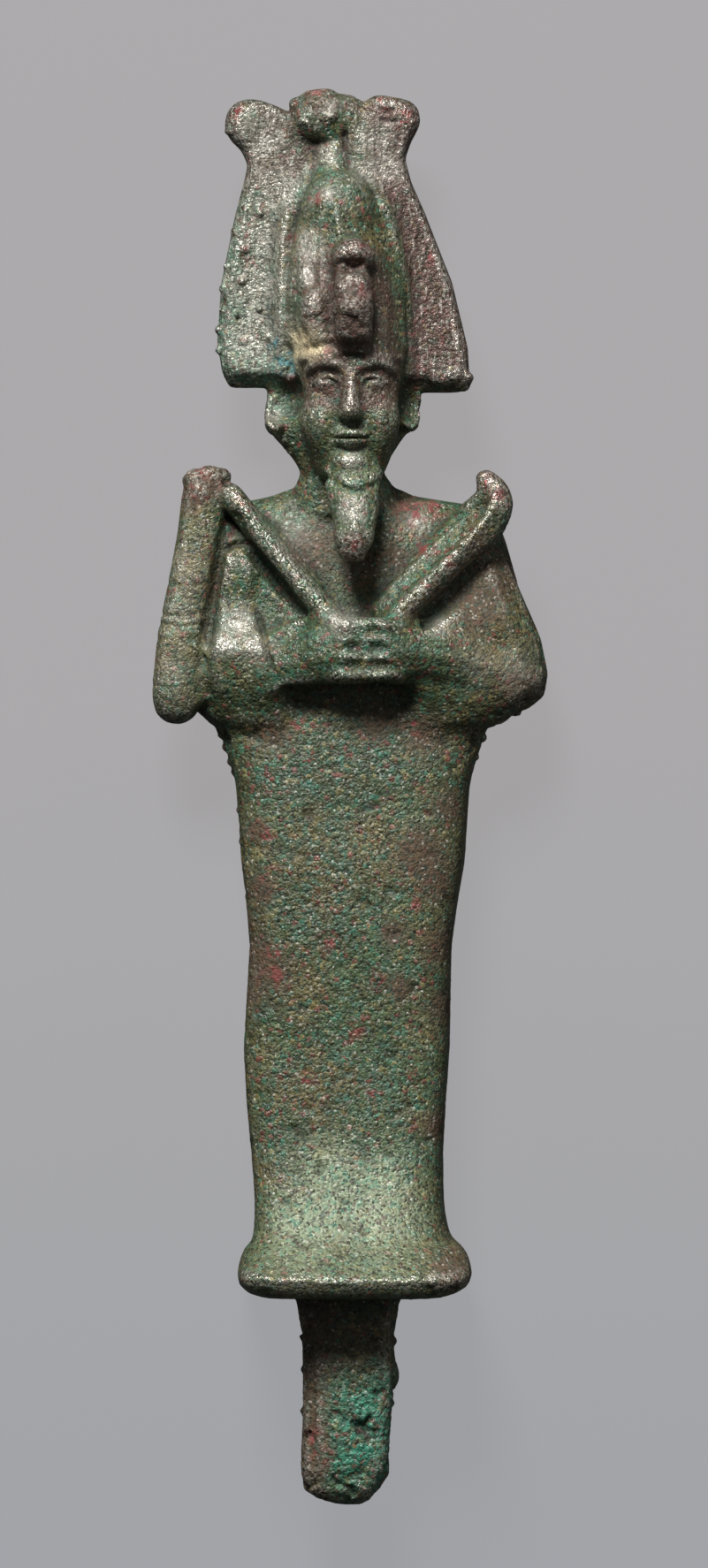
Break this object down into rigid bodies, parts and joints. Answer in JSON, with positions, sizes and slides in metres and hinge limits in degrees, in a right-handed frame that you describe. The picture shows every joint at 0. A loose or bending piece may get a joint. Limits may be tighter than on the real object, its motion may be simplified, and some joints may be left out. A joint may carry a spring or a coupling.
{
  "type": "cast metal figurine",
  "caption": "Small solid-cast figure of a crowned, wrapped deity that holds a crook and a flail, on a foot plate with a tang below.",
  "frame": {"origin": "on the surface that the figure lies on, below the middle of its whole length and width, tang included", "axes": "+Y from the tang to the crown, +Z out of the figure's front, +X to the right of somebody who looks at its face"},
  "size_m": [0.0308, 0.11, 0.0155],
  "materials": {
    "patinated_bronze": "corroded bronze: mottled green and brown crust with red-brown specks and worn, shiny ridges"
  },
  "bodies": {
    "root": {"osiris_figure": "patinated_bronze"}
  },
  "joints": []
}
